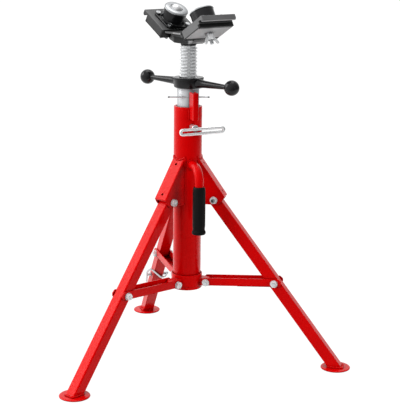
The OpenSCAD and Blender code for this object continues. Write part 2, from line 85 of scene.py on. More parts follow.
lens = bpy.data.cameras.new("photo_lens")
lens.sensor_fit, lens.sensor_width = "HORIZONTAL", 36.0
lens.lens = lens.sensor_width * focal_px / frame_px
lens.clip_start, lens.clip_end = 0.05, 60.0
camera = linked("photo_camera", lens)
stand_at(camera, eye, [across_image, up_image, -ahead])
bpy.context.scene.camera = camera
bpy.context.scene.view_settings.view_transform = "Standard"


# Studio: a white paper sheet that lies under the stand and curls up behind it, and four soft
# lamps. The camera sees paper and air as white, metal sees the air brighter above on the left
# than in front, and the paper keeps the stand's shadow.
def node(tree, kind, settings=(), **sockets):
    """A shader node with its settings, and its sockets set to values or linked."""
    made = tree.nodes.new("ShaderNode" + kind)
    for key, value in dict(settings).items():
        setattr(made, key, value)
    for key, value in sockets.items():
        socket = made.inputs[int(key[1:])] if key[1:].isdigit() else made.inputs[key.replace("_", " ")]
        if isinstance(value, bpy.types.NodeSocket):
            tree.links.new(value, socket)
        else:
            socket.default_value = value
    return made


def maths(tree, operation, *values, clamp=False):
    """The result of one step of arithmetic on numbers or sockets."""
    sockets = {"_" + str(k): value for k, value in enumerate(values)}
    return node(tree, "Math", {"operation": operation, "use_clamp": clamp}, **sockets).outputs[0]


def ramp(tree, value, start, stop, low=0.0, high=1.0, kind="LINEAR"):
    """Goes from low to high as the value goes from start to stop, and no further."""
    return node(tree, "MapRange", {"interpolation_type": kind},
                _0=value, _1=start, _2=stop, _3=low, _4=high).outputs[0]


def along(tree, vector, direction):
    """How far a vector reaches in a direction."""
    return node(tree, "VectorMath", {"operation": "DOT_PRODUCT"}, _0=vector, _1=direction).outputs["Value"]


def seen_directly(tree):
    """1 for rays from the camera, a mirror or through glass, and 0 for the light on surfaces."""
    path = node(tree, "LightPath").outputs
    passed_on = maths(tree, "MAXIMUM", path["Is Glossy Ray"], path["Is Transmission Ray"])
    return maths(tree, "MAXIMUM", path["Is Camera Ray"], passed_on)


sheet_x, along_sheet = np.meshgrid(np.linspace(-2.2, 2.2, 9), np.linspace(-0.9, 8, 73))
flat_to, curl_radius = 2.4, 1.2
curl = np.clip((along_sheet - flat_to) / curl_radius, 0, np.pi / 2)
sheet_y = np.minimum(along_sheet, flat_to) + curl_radius * np.sin(curl)
sheet_z = curl_radius * (1 - np.cos(curl)) + np.maximum(along_sheet - flat_to - curl_radius * np.pi / 2, 0)
points = np.stack([sheet_x, sheet_y, sheet_z], axis=-1) @ to_part.T
index = np.arange(points.size // 3).reshape(points.shape[:2])
squares = np.stack([index[:-1, :-1], index[:-1, 1:], index[1:, 1:], index[1:, :-1]], axis=-1)
paper_mesh = bpy.data.meshes.new("studio_paper")
paper_mesh.from_pydata(points.reshape(-1, 3).tolist(), [], squares.reshape(-1, 4).tolist())
paper_mesh.polygons.foreach_set("use_smooth", np.ones(len(paper_mesh.polygons), bool))
paper = linked("studio_paper", paper_mesh)
paper_look = bpy.data.materials.new("white_paper")
paper_look.use_nodes = True
tree = paper_look.node_tree
matt = tree.nodes["Principled BSDF"]
grey_matt = {"Base Color": (0.4, 0.4, 0.4, 1), "Roughness": 1.0, "Specular IOR Level": 0.0}
for socket, value in grey_matt.items():
    matt.inputs[socket].default_value = value
glow_share = maths(tree, "MULTIPLY", seen_directly(tree), 0.76)
glow = node(tree, "Emission", Color=(1, 1, 1, 1), Strength=1.3)
blend = node(tree, "MixShader", _0=glow_share, _1=matt.outputs[0], _2=glow.outputs[0])
tree.links.new(blend.outputs[0], tree.nodes["Material Output"].inputs["Surface"])
paper_mesh.materials.append(paper_look)

air = bpy.data.worlds.new("studio_air")
bpy.context.scene.world = air
air.use_nodes = True
tree = air.node_tree
bright_side = (to_part @ np.array([-0.76, 0.30, 0.58])).tolist()
facing = along(tree, node(tree, "TexCoord").outputs["Generated"], bright_side)
rays = node(tree, "LightPath").outputs
on_surfaces = ramp(tree, facing, -0.4, 0.9, 0.05, 0.8, "SMOOTHSTEP")
in_metal = ramp(tree, facing, -0.7, 0.5, 0.25, 1.0, "SMOOTHSTEP")
unseen = node(tree, "Mix", {"data_type": "FLOAT"}, _0=rays["Is Glossy Ray"], _2=on_surfaces, _3=in_metal)
straight = maths(tree, "MAXIMUM", rays["Is Camera Ray"], rays["Is Transmission Ray"])
strength = maths(tree, "MAXIMUM", straight, unseen.outputs[0])
tree.nodes["Background"].inputs["Color"].default_value = (1, 1, 1, 1)
tree.links.new(strength, tree.nodes["Background"].inputs["Strength"])

# Each lamp has a place, a width in metres, a power in watts, and may be mirrored in metal.
softboxes = {
    "key_softbox": ((-3.0, 0.5, 2.1), 1.8, 44, True),
    "left_fill": ((-2.6, -2.0, 1.6), 1.6, 60, False),
    "right_fill": ((2.7, -1.9, 1.2), 1.6, 56, False),
    "top_softbox": ((0.0, 0.6, 3.2), 2.0, 28, True),
}
aimed_at = np.array([0, 0, 0.4])
for name, (place, width, watts, is_mirrored) in softboxes.items():
    lamp = bpy.data.lights.new(name, "AREA")
    lamp.size, lamp.energy = width, watts
    box = linked(name, lamp)
    box.visible_glossy = is_mirrored
    away = np.array(place) - aimed_at
    away /= np.linalg.norm(away)
    side = np.cross([0.0, 1.0, 0.001], away)
    side /= np.linalg.norm(side)
    stand_at(box, place, [side, np.cross(away, side), away])


# Outer tube: 60 mm steel pipe, sawn square and bored right through for the lock pin, with a
# stop ring welded round its lower end. Its gloss enamel is on every welded piece of the stand.
mm = 0.001


def effect(name, takes, gives):
    """An empty node group with numbers for inputs, each with its usual value, and for outputs."""
    group = bpy.data.node_groups.new(name, "ShaderNodeTree")
    for label, usual in takes.items():
        socket = group.interface.new_socket(label, in_out="INPUT", socket_type="NodeSocketFloat")
        socket.default_value = usual
    for label in gives:
        group.interface.new_socket(label, in_out="OUTPUT", socket_type="NodeSocketFloat")
    return group, group.nodes.new("NodeGroupInput").outputs, group.nodes.new("NodeGroupOutput").inputs


# Patches: soft cloudy noise, spread to 0 to 1, for slow changes of tone over a surface.
patches, taken, given = effect("patches", {"Scale": 12.0, "Contrast": 2.0}, ["Value"])
place = node(patches, "TexCoord").outputs["Object"]
cloud = node(patches, "TexNoise", Vector=place, Scale=taken["Scale"], Detail=4.0, Roughness=0.6)
centred = maths(patches, "SUBTRACT", cloud.outputs[0], 0.5)
spread = maths(patches, "MULTIPLY_ADD", centred, taken["Contrast"], 0.5, clamp=True)
patches.links.new(spread, given["Value"])

# Rubbed edges: where the surface turns sharply, broken up by noise. It compares the
# normal with the one that a rounded edge of that width would have.
rubbed, taken, given = effect("rubbed_edges", {"Width": 0.0008, "Scale": 300.0, "Amount": 1.0}, ["Mask"])
rounded_off = node(rubbed, "Bevel", {"samples": 4}, Radius=taken["Width"])
agreement = along(rubbed, rounded_off.outputs[0], node(rubbed, "NewGeometry").outputs["Normal"])
sharp = maths(rubbed, "MULTIPLY_ADD", agreement, -6.0, 5.9, clamp=True)
place = node(rubbed, "TexCoord").outputs["Object"]
chips = node(rubbed, "TexNoise", Vector=place, Scale=taken["Scale"], Detail=3.0)
chipped = maths(rubbed, "MULTIPLY_ADD", chips.outputs[0], 7.0, -3.4, clamp=True)
scaled = maths(rubbed, "MULTIPLY", maths(rubbed, "MULTIPLY", sharp, chipped), taken["Amount"], clamp=True)
rubbed.links.new(scaled, given["Mask"])

# Crevice shade: painted shade where other faces stand close in front of the surface, as in
# grooves, seams and inner corners, where deep shade falls.
crevice_shade, taken, given = effect("crevice_shade", {"Reach": 0.008}, ["Mask"])
openness = node(crevice_shade, "AmbientOcclusion", {"samples": 4}, Distance=taken["Reach"])
crevice_shade_mask = maths(crevice_shade, "MULTIPLY_ADD", openness.outputs["AO"], -2.0, 1.72, clamp=True)
crevice_shade.links.new(crevice_shade_mask, given["Mask"])


def use(tree, group, **values):
    """The outputs of an effect that is placed in a material with its own numbers."""
    placed_in = tree.nodes.new("ShaderNodeGroup")
    placed_in.node_tree = group
    for key, value in values.items():
        placed_in.inputs[key].default_value = value
    return placed_in.outputs


def finish(name, tones, rough, metal, bare, grain, wear, seam=(0.008, 0.3), painted_light=None, **plain):
    """A coating: two tones in patches, bare stock at rubbed edges, painted shade in seams and a
    fine grain. rough is (smoothest, roughest), bare is (colour, metallic), grain is (size, depth),
    wear is (width, amount), seam is (reach, how much of the colour the painted shade leaves),
    a shading function, if given, gives a number in the tree that scales the colour with painted
    light and shade, and plain holds the shader's sockets."""
    look = bpy.data.materials.new(name)
    look.use_nodes = True
    tree = look.node_tree
    shader = tree.nodes["Principled BSDF"]
    for key, value in plain.items():
        shader.inputs[key.replace("_", " ")].default_value = value
    tone = use(tree, patches, Scale=9.0, Contrast=2.2)[0]
    mask = use(tree, rubbed, Width=wear[0], Amount=wear[1])[0]
    two_tone = node(tree, "Mix", {"data_type": "RGBA"}, _0=tone, _6=(*tones[0], 1), _7=(*tones[1], 1))
    colour = node(tree, "Mix", {"data_type": "RGBA"}, _0=mask, _6=two_tone.outputs[2], _7=(*bare[0], 1))
    # Painted shade darkens the colour in seams, and painted light and shade scale it where given.
    shade = ramp(tree, use(tree, crevice_shade, Reach=seam[0])[0], 0.0, 1.0, 1.0, seam[1])
    if painted_light:
        shade = maths(tree, "MULTIPLY", shade, painted_light(tree))
    shaded = node(tree, "VectorMath", {"operation": "SCALE"}, _0=colour.outputs[2], Scale=shade)
    tree.links.new(shaded.outputs[0], shader.inputs["Base Color"])
    smudge = use(tree, patches, Scale=26.0, Contrast=3.0)[0]
    tree.links.new(ramp(tree, smudge, 0.0, 1.0, *rough), shader.inputs["Roughness"])
    if metal != bare[1]:
        tree.links.new(ramp(tree, mask, 0.0, 1.0, metal, bare[1]), shader.inputs["Metallic"])
    else:
        shader.inputs["Metallic"].default_value = metal
    place = node(tree, "TexCoord").outputs["Object"]
    pores = node(tree, "TexNoise", Vector=place, Scale=grain[0], Detail=2.0)
    relief = node(tree, "Bump", Strength=grain[1], Distance=0.0004, Height=pores.outputs[0])
    tree.links.new(relief.outputs[0], shader.inputs["Normal"])
    return look


red_enamel = finish("red_enamel", [(0.68, 0.0004, 0.001), (0.58, 0.0003, 0.001)], (0.22, 0.32), 0.0,
                    ((0.30, 0.004, 0.004), 0.0), (420.0, 0.06), (0.5 * mm, 0.3),
                    Specular_IOR_Level=0.35, Specular_Tint=(1.0, 0.14, 0.12, 1))


def softened(name, edge, fold=0.0, is_fold=None):
    """A CAD solid's skin with its loose triangles joined into whole faces and a small round
    put on every sharp edge. Where is_fold(middle, direction, length) holds, the round is fold."""
    shell = bmesh.new()
    shell.from_mesh(frame["nodes"][name].data)
    bmesh.ops.remove_doubles(shell, verts=shell.verts, dist=2e-6)
    bmesh.ops.dissolve_limit(shell, angle_limit=np.radians(0.6), verts=shell.verts, edges=shell.edges)
    made = bpy.data.meshes.new(name + "_skin")
    shell.to_mesh(made)
    shell.free()
    for extra in ("custom_normal", "sharp_face", "sharp_edge"):
        if extra in made.attributes:
            made.attributes.remove(made.attributes[extra])
    made.polygons.foreach_set("use_smooth", np.ones(len(made.polygons), bool))
    made.set_sharp_from_angle(angle=np.radians(28))
    is_sharp = np.zeros(len(made.edges), bool)
    if "sharp_edge" in made.attributes:
        made.attributes["sharp_edge"].data.foreach_get("value", is_sharp)
        made.attributes.remove(made.attributes["sharp_edge"])
    at = np.empty(len(made.vertices) * 3)
    made.vertices.foreach_get("co", at)
    ends = np.empty(len(made.edges) * 2, int)
    made.edges.foreach_get("vertices", ends)
    ends = at.reshape(-1, 3)[ends.reshape(-1, 2)]
    span = ends[:, 1] - ends[:, 0]
    length = np.linalg.norm(span, axis=1)
    widest = max(edge, fold)
    weight = np.full(len(length), edge / widest)
    if is_fold is not None:
        weight[is_fold(ends.mean(axis=1), span / length[:, None], length)] = fold / widest
    weight = (weight * is_sharp).astype(np.float32)
    made.attributes.new("bevel_weight_edge", "FLOAT", "EDGE").data.foreach_set("value", weight)
    piece = linked(name + "_skin", made)
    round_off = piece.modifiers.new("rounds", "BEVEL")
    round_off.limit_method, round_off.width, round_off.segments = "WEIGHT", widest, 3
    round_off.harden_normals, round_off.use_clamp_overlap = True, False
    return piece


def fit(piece, body, slot, look, *stands_for, sharp=32):
    """Puts a finish on a piece and fixes it to its body, in place of these solids."""
    piece.data.materials.clear()
    piece.data.materials.append(look)
    if not piece.modifiers:
        piece.data.polygons.foreach_set("use_smooth", np.ones(len(piece.data.polygons), bool))
        piece.data.set_sharp_from_angle(angle=np.radians(sharp))
    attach(piece, body)
    if stands_for:
        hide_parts(*stands_for)
    return piece


def painted(piece, body, *stands_for):
    """Fits a piece that wears the stand's red enamel."""
    return fit(piece, body, "red_paint", red_enamel, *stands_for)


def closed_skin(name, parts):
    """One mesh of parts, each of them points and faces. Points that meet are merged, and the
    faces are turned to point out."""
    shell = bmesh.new()
    for points, faces in parts:
        part = bpy.data.meshes.new(name)
        part.from_pydata(points.tolist(), [], faces)
        shell.from_mesh(part)
        bpy.data.meshes.remove(part)
    bmesh.ops.remove_doubles(shell, verts=shell.verts, dist=2e-6)
    bmesh.ops.recalc_face_normals(shell, faces=shell.faces)
    made = bpy.data.meshes.new(name)
    shell.to_mesh(made)
    shell.free()
    return linked(name, made)


def polar(radius, turn, height):
    """Points at a height, with x and y the radius times the cosine and sine of the turn."""
    radius, turn, height = np.broadcast_arrays(radius, turn, height)
    return np.stack([radius * np.cos(turn), radius * np.sin(turn), height], axis=-1)


def bored_tube(name, outer, inner, low, high, bore, levels):
    """An upright tube with eased ends and round holes bored through it from front to rear.
    Each wall is a grid. A square of cells gives way to each hole: the points of its outline
    are joined to as many points of the hole's ring, at the same angles, and the rings of the
    outer and inner wall are joined along the bore."""
    columns, across, edge = 96, 12, 0.6 * mm
    cell, half = 2 * np.pi * outer / columns, across // 2
    starts = sorted(level - half * cell for level in levels)
    rows = [(low, edge), (low + 0.3 * edge, 0.3 * edge), (low + edge, 0)]
    rows += [(start + k * cell, 0) for start in starts for k in range(across + 1)]
    rows += [(high - edge, 0), (high - 0.3 * edge, 0.3 * edge), (high, edge)]
    rows = np.array(rows)
    turn = 2 * np.pi * (np.arange(columns) - half) / columns - np.pi / 2
    grid = np.arange(2 * len(rows) * columns).reshape(2, len(rows), columns)
    points, faces = [], []
    for radius, sign in ((outer, -1), (inner, 1)):
        points.append(polar(radius + sign * rows[:, 1:], turn, rows[:, :1]).reshape(-1, 3))
    first_rows = [3 + (across + 1) * k for k in range(len(starts))]
    open_cells = {(row + i, column + j) for row in first_rows for column in (0, columns // 2)
                  for i in range(across) for j in range(across)}
    for wall in grid:
        after = np.roll(wall, -1, axis=1)
        faces += [[wall[i, j], after[i, j], after[i + 1, j], wall[i + 1, j]]
                  for i in range(len(rows) - 1) for j in range(columns) if (i, j) not in open_cells]
    for row in (0, -1):
        outside, inside = grid[:, row]
        faces += [[outside[j - 1], outside[j], inside[j], inside[j - 1]] for j in range(columns)]
    outline = [(0, k) for k in range(across)] + [(k, across) for k in range(across)]
    outline += [(across, across - k) for k in range(across)] + [(across - k, 0) for k in range(across)]
    lean = np.array([np.arctan2(i - half, j - half) for i, j in outline])
    used, count = grid.size, len(outline)
    for row, start in zip(first_rows, starts):
        for column, side in ((0, -1), (columns // 2, 1)):
            rings = []
            for wall, radius in zip(grid, (outer, inner)):
                x = -side * bore * np.cos(lean)
                z = start + half * cell + bore * np.sin(lean)
                points.append(np.stack([x, side * np.sqrt(radius ** 2 - x ** 2), z], axis=1))
                ring = used + np.arange(count)
                used += count
                square = [wall[row + i, (column + j) % columns] for i, j in outline]
                faces += [[square[k - 1], square[k], ring[k], ring[k - 1]] for k in range(count)]
                rings.append(ring)
            faces += [[rings[0][k - 1], rings[0][k], rings[1][k], rings[1][k - 1]] for k in range(count)]
    return closed_skin(name, [(np.vstack(points), [[int(k) for k in face] for face in faces])])


tube_low, tube_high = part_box("outer_tube")
tube_r, tube_top = tube_high.x, tube_high.z
pin_z, pin_bore = tube_top - 40.6 * mm, 6.3 * mm
tube_bore = tube_r - 5 * mm
column_tube = bored_tube("column_tube", tube_r, tube_bore, tube_low.z, tube_top, pin_bore, [pin_z])
painted(column_tube, "column", "outer_tube")
painted(softened("stop_ring", 0.8 * mm), "column", "stop_ring")


# Guard: a narrow channel of 3 mm sheet stood open side inwards against the front of the tube,
# folded round its two outer corners, and welded to the tube down both sides.
def skin(name, *shapes):
    """One closed skin of grids of points. In a grid, neighbours in rows and columns are joined
    by quads, columns close round on themselves, and each end row is closed by a flat face,
    unless the last row is the first one again."""
    parts = []
    for grid in shapes:
        index = np.arange(grid.size // 3).reshape(grid.shape[:2])
        after = np.roll(index, -1, axis=1)
        faces = np.stack([index[:-1], after[:-1], after[1:], index[1:]], axis=-1).reshape(-1, 4).tolist()
        if not np.allclose(grid[0], grid[-1]):
            faces += [index[0, ::-1].tolist(), index[-1].tolist()]
        parts.append((grid.reshape(-1, 3), faces))
    return closed_skin(name, parts)


def eased(corners, reach, steps=6):
    """A line of points whose inner corners are cut back by reach and joined by parabolas:
    at share t from start a past corner p to end b, (1-t)^2 a + 2t(1-t) p + t^2 b."""
    corners = np.array(corners, float)
    back, on = corners[:-2] - corners[1:-1], corners[2:] - corners[1:-1]
    gaps = [np.linalg.norm(v, axis=1, keepdims=True) for v in (back, on)]
    cut = np.minimum(reach, 0.45 * np.minimum(*gaps))
    a, b = corners[1:-1] + back / gaps[0] * cut, corners[1:-1] + on / gaps[1] * cut
    t = np.linspace(0, 1, steps)[None, :, None]
    arcs = (1 - t) ** 2 * a[:, None] + 2 * t * (1 - t) * corners[1:-1, None] + t ** 2 * b[:, None]
    return np.concatenate([corners[:1], arcs.reshape(-1, corners.shape[1]), corners[-1:]])


def carried(path, radius, square_to, steps=20):
    """A ring of points carried along a path: path + radius * (cos a * side + sin a * lift),
    where side is square to the path and to a set direction, and lift to the other two."""
    path = np.array(path, float)
    ahead_of = np.gradient(path, axis=0)
    if np.allclose(path[0], path[-1]):
        ahead_of = np.roll(path[:-1], -1, axis=0) - np.roll(path[:-1], 1, axis=0)
        ahead_of = np.vstack([ahead_of, ahead_of[:1]])
    ahead_of /= np.linalg.norm(ahead_of, axis=1, keepdims=True)
    side = np.cross(square_to, ahead_of)
    side /= np.linalg.norm(side, axis=1, keepdims=True)
    lift = np.cross(ahead_of, side)
    turn = np.linspace(0, 2 * np.pi, steps, endpoint=False)[None, :, None]
    size = np.broadcast_to(np.asarray(radius, float), len(path))[:, None, None]
    return path[:, None] + size * (np.cos(turn) * side[:, None] + np.sin(turn) * lift[:, None])


def weld(path, size, square_to, pitch=2.6 * mm):
    """A weld bead: a ring carried along an evenly stepped path, its radius swelling by a
    tenth once a pitch, and drawn in to nothing at the ends of an open run."""
    path = np.array(path, float)
    run = np.concatenate([[0], np.cumsum(np.linalg.norm(np.diff(path, axis=0), axis=1))])
    even = np.linspace(0, run[-1], int(run[-1] / pitch * 5) + 2)
    line = np.stack([np.interp(even, run, path[:, k]) for k in range(3)], axis=1)
    radius = size * (1 + 0.1 * np.sin(2 * np.pi * even / (run[-1] / round(run[-1] / pitch))))
    if not np.allclose(path[0], path[-1]):
        to_end = np.minimum(even, run[-1] - even)
        radius = radius * np.sqrt(np.clip(to_end / (1.5 * size), 0.0004, 1))
    return carried(line, radius, square_to, 10)


def bent_sheet(line, thick, low, high):
    """Upright sheet metal: a line of (x, y) points and its copy a sheet's thickness to its
    left, closed into one ring and run from low to high with its end edges slightly drawn in."""
    line = np.array(line, float)
    ahead_of = np.gradient(line, axis=0)
    inward = np.column_stack([-ahead_of[:, 1], ahead_of[:, 0]])
    inward /= np.linalg.norm(ahead_of, axis=1, keepdims=True)
    edge = 0.4 * mm
    rows = []
    for height, drawn in ((low, edge), (low + edge, 0), (high - edge, 0), (high, edge)):
        ring = np.vstack([line + inward * drawn, (line + inward * (thick - drawn))[::-1]])
        rows.append(np.column_stack([ring, np.full(len(ring), height)]))
    return np.stack(rows)


guard_low, guard_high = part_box("pin_guard")
guard_half, guard_front = guard_high.x, guard_low.y
at_tube = -np.sqrt((tube_r + 0.6 * mm) ** 2 - guard_half ** 2)
edge_y = at_tube + 0.5 * mm
fold_line = eased([[-guard_half, edge_y], [-guard_half, guard_front], [guard_half, guard_front],
                   [guard_half, edge_y]], 4.4 * mm, 9)
channel = bent_sheet(fold_line, 3 * mm, guard_low.z, guard_high.z)
painted(skin("guard_channel", channel), "column", "pin_guard")
bead_ends = (guard_low.z - 1 * mm, tube_top - 1 * mm)
beads = [weld([[x, at_tube, z] for z in bead_ends], 1.7 * mm, [0, 1, 0])
         for x in (-guard_half - 0.6 * mm, guard_half + 0.6 * mm)]
painted(skin("guard_weld", *beads), "column")


# Leg brackets: channels bent from 3 mm sheet, a sloping plate with a cheek down each side,
# welded to the tube over the top of the plate and down the back of both cheeks.
joints = {joint["name"]: joint for joint in frame["joints"]}
legs = {"rear": np.radians(90), "left": np.radians(210), "right": np.radians(330)}


def leg_axes(leg):
    """Unit axes of a leg's own frame: away from the column, across the leg, and up."""
    return turned(legs[leg])


def edges_along(axis, shortest):
    """Picks the long straight edges that lie along one direction."""
    axis = np.array(axis) / np.linalg.norm(axis)
    return lambda middle, direction, length: (np.abs(direction @ axis) > 0.995) & (length > shortest)


rear_low, rear_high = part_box("bracket_rear")
bracket_half = rear_high.x
plate_fall = 1.4225
for leg in legs:
    radial, lateral, up = axes = leg_axes(leg)
    plate_bends = edges_along(radial - plate_fall * up, 20 * mm)
    bracket = softened("bracket_" + leg, 0.5 * mm, 3.2 * mm, plate_bends)
    painted(bracket, "column", "bracket_" + leg)
    across = np.linspace(-1, 1, 17) * (bracket_half + 0.3 * mm)
    on_tube = np.sqrt((tube_r + 0.5 * mm) ** 2 - across ** 2)
    arch_z = rear_high.z + 0.6 * mm - (on_tube - on_tube[0]) * plate_fall
    arch = np.stack([on_tube, across, arch_z], axis=1)
    feet = [[on_tube[k], across[k], rear_low.z + 1 * mm] for k in (0, -1)]
    run = eased(np.vstack([feet[0], arch, feet[1]]), 3 * mm)
    painted(skin("bracket_weld_" + leg, weld(run @ axes, 1.9 * mm, radial)), "column")


# Carry handle: red tube bent once, from a welded root on the front of the tube out and down.
# Its lower end runs on inside the grip.
handle_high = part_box("carry_handle")[1]
grip_low, grip_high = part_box("handle_grip")
handle_r = handle_high.x
grip_y = (grip_low.y + grip_high.y) / 2
handle_z, handle_bend = handle_high.z - handle_r, 31 * mm
around = np.linspace(0, np.pi / 2, 17)
bend_run = np.stack([0 * around, grip_y + handle_bend * (1 - np.sin(around)),
                     handle_z - handle_bend * (1 - np.cos(around))], axis=1)
path = np.vstack([[0, -tube_r + 4 * mm, handle_z], bend_run, [0, grip_y, grip_low.z + 5 * mm]])
handle_tube = skin("carry_handle_tube", carried(path, handle_r, [1, 0, 0], 40))
painted(handle_tube, "column", "carry_handle")
turn = np.linspace(0, 2 * np.pi, 49)
ring_x, ring_z = (handle_r + 0.6 * mm) * np.cos(turn), handle_z + (handle_r + 0.6 * mm) * np.sin(turn)
root = np.stack([ring_x, -np.sqrt((tube_r + 0.8 * mm) ** 2 - ring_x ** 2), ring_z], axis=1)
painted(skin("handle_weld", weld(root, 2.0 * mm, [0, 1, 0])), "column")


# Grip: a black rubber sleeve pushed over the handle's end, its middle moulded with shallow
# flutes, with a closed lower end and a small flange there.
rubber = finish("grip_rubber", [(0.004, 0.004, 0.004), (0.007, 0.007, 0.007)], (0.40, 0.55), 0.0,
                ((0.03, 0.03, 0.03), 0.0), (900.0, 0.2), (0.5 * mm, 0.2), Specular_IOR_Level=0.08)


def lathe(outline, steps=64):
    """Turns an outline of (radius, height) rows about the Z axis, in even turns."""
    radius, height = np.array(outline, float).T
    turn = np.linspace(0, 2 * np.pi, steps, endpoint=False)
    return polar(radius[:, None], turn, height[:, None])


grip_r, grip_len = 13.5 * mm, grip_high.z - grip_low.z
flange_r = (grip_high.x - grip_low.x) / 2
outline = eased([[0, 0], [flange_r - 1.5 * mm, 0], [flange_r, 2 * mm], [flange_r, 6 * mm],
                 [grip_r - 0.7 * mm, 9 * mm], [grip_r - 0.7 * mm, 13 * mm],
                 [grip_r, 18 * mm], [grip_r, grip_len - 12 * mm],
                 [grip_r - 0.4 * mm, grip_len - 4 * mm], [grip_r - 2.4 * mm, grip_len],
                 [handle_r - 0.2 * mm, grip_len]], 2.5 * mm, 5)
body = lathe(outline, 192)
turn = np.linspace(0, 2 * np.pi, 192, endpoint=False)
past_flange, to_top = body[..., 2] - 15 * mm, grip_len - 10 * mm - body[..., 2]
fade = np.clip(past_flange / (6 * mm), 0, 1) * np.clip(to_top / (6 * mm), 0, 1)
flutes = 0.45 * mm * fade * (0.5 - 0.5 * np.cos(24 * turn))
body[..., :2] *= 1 - (flutes / np.maximum(np.hypot(body[..., 0], body[..., 1]), 1 * mm))[..., None]
grip = skin("rubber_grip", body + [0, grip_y, grip_low.z])
fit(grip, "column", "grip_rubber", rubber, "handle_grip", sharp=50)


# Legs: square steel tube with rounded corners, cut level at the floor, drilled for the pivot
# and brace bolts, and welded all round to the foot.
pivot_r, pivot_z = joints["leg_rear_hinge"]["pos_m"][1], joints["leg_rear_hinge"]["pos_m"][2]
foot_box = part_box("foot_rear")
foot_reach, foot_r, foot_t = (foot_box[0].y + foot_box[1].y) / 2, foot_box[1].x, foot_box[1].z
leg_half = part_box("leg_rear")[1].x
tilt = np.arctan2(pivot_z - foot_t, foot_reach - pivot_r)
for leg in legs:
    radial, lateral, up = axes = leg_axes(leg)
    leg_corners = edges_along(np.cos(tilt) * radial - np.sin(tilt) * up, 20 * mm)
    tube = softened("leg_" + leg, 0.35 * mm, 3.0 * mm, leg_corners)
    painted(tube, "leg_" + leg, "leg_" + leg)
    long_half = leg_half / np.sin(tilt)
    ring = np.array([[-1, 0], [-1, -1], [1, -1], [1, 1], [-1, 1], [-1, 0]]) * [long_half, leg_half]
    ring = np.column_stack([ring[:, 0] + foot_reach, ring[:, 1], np.full(len(ring), foot_t + 1 * mm)])
    ring = eased(ring, 5 * mm)
    painted(skin("foot_weld_" + leg, weld(ring @ axes, 2.6 * mm, up, 3.4 * mm)), "leg_" + leg)


# Feet: round steel discs, pressed with a soft rim, one under each leg. The leg's cut end is
# welded to the middle of the disc.
disc = eased([[0, 0], [foot_r - 2 * mm, 0], [foot_r, 1.2 * mm], [foot_r, foot_t - 1.2 * mm],
              [foot_r - 1.5 * mm, foot_t], [0, foot_t]], 1 * mm, 5)
for leg in legs:
    place = [foot_reach, 0, 0] @ leg_axes(leg)
    painted(skin("foot_disc_" + leg, lathe(disc, 96) + place), "leg_" + leg, "foot_" + leg)


# Collar and braces: a ring with three lugs that slides on the tube, and three channels bent
# from 2.5 mm sheet that join its lugs to the legs, each open at both ends and over the bolts.
painted(softened("collar", 0.9 * mm), "collar", "collar")
lug_r, lug_z = joints["brace_rear_hinge"]["pos_m"][1], joints["brace_rear_hinge"]["pos_m"][2]
stub_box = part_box("brace_bolt_rear")
brace_r, brace_z = (stub_box[0].y + stub_box[1].y) / 2, (stub_box[0].z + stub_box[1].z) / 2
brace_tilt = np.arctan2(brace_z - lug_z, brace_r - lug_r)


def brace_bends(leg):
    """Picks a brace's two bends along its floor, and the corners of its flanges' ends."""
    radial, lateral, up = leg_axes(leg)
    lengthways = edges_along(np.cos(brace_tilt) * radial + np.sin(brace_tilt) * up, 40 * mm)

    def is_bend(middle, direction, length):
        low_down = (middle @ up - brace_z) < -5 * mm
        is_corner = (np.abs(direction @ lateral) > 0.99) & (length < 3 * mm)
        return lengthways(middle, direction, length) & low_down | is_corner
    return is_bend


for leg in legs:
    brace = softened("brace_" + leg, 0.4 * mm, 2.2 * mm, brace_bends(leg))
    painted(brace, "brace_" + leg, "brace_" + leg)


# Bolts: zinc-plated hex bolts through the brackets, lugs and legs. Each has a washer under
# its head and its lock nut, and the thread's end stands out past the nut, darker than both.
galvanised = finish("galvanised", [(0.88, 0.89, 0.90), (0.78, 0.79, 0.80)], (0.30, 0.45), 0.35,
                    ((0.6, 0.6, 0.6), 1.0), (700.0, 0.10), (0.3 * mm, 0.5), (1.5 * mm, 0.1))
nut_steel = finish("nut_steel", [(0.60, 0.61, 0.62), (0.50, 0.51, 0.52)], (0.14, 0.26), 1.0,
                   ((0.62, 0.62, 0.62), 1.0), (700.0, 0.10), (0.3 * mm, 0.5), (4 * mm, 0.12))
bolt_r, hex_half, washer_r, washer_t, head_h = 4 * mm, 6.5 * mm, 8 * mm, 1.6 * mm, 5.2 * mm


def prism(rows, half, sides=6, steps=48):
    """Rings of a regular prism with its corners turned off. A row is (height, widest radius,
    fall), and its radius is the lesser of the widest and half / cos of the angle from the
    nearest flat's middle. Its height falls by fall for each unit that it passes the flat."""
    turn = np.linspace(0, 2 * np.pi, steps, endpoint=False)
    flat_sided = half / np.cos(turn % (2 * np.pi / sides) - np.pi / sides)
    rings = []
    for height, widest, fall in rows:
        radius = np.minimum(widest, flat_sided)
        level = height - fall * np.maximum(radius - half, 0)
        rings.append(polar(radius, turn, level))
    return np.stack(rings)


def rod(radius, start, stop, steps, *ease):
    """A closed cylinder from one height to another. Its rims may be eased."""
    outline = [[0, start], [radius, start], [radius, stop], [0, stop]]
    return lathe(eased(outline, *ease) if ease else outline, steps)


def placed(grid, origin, axes):
    """Grid points measured along three axes, given as rows, from an origin."""
    return grid @ np.array(axes) + origin


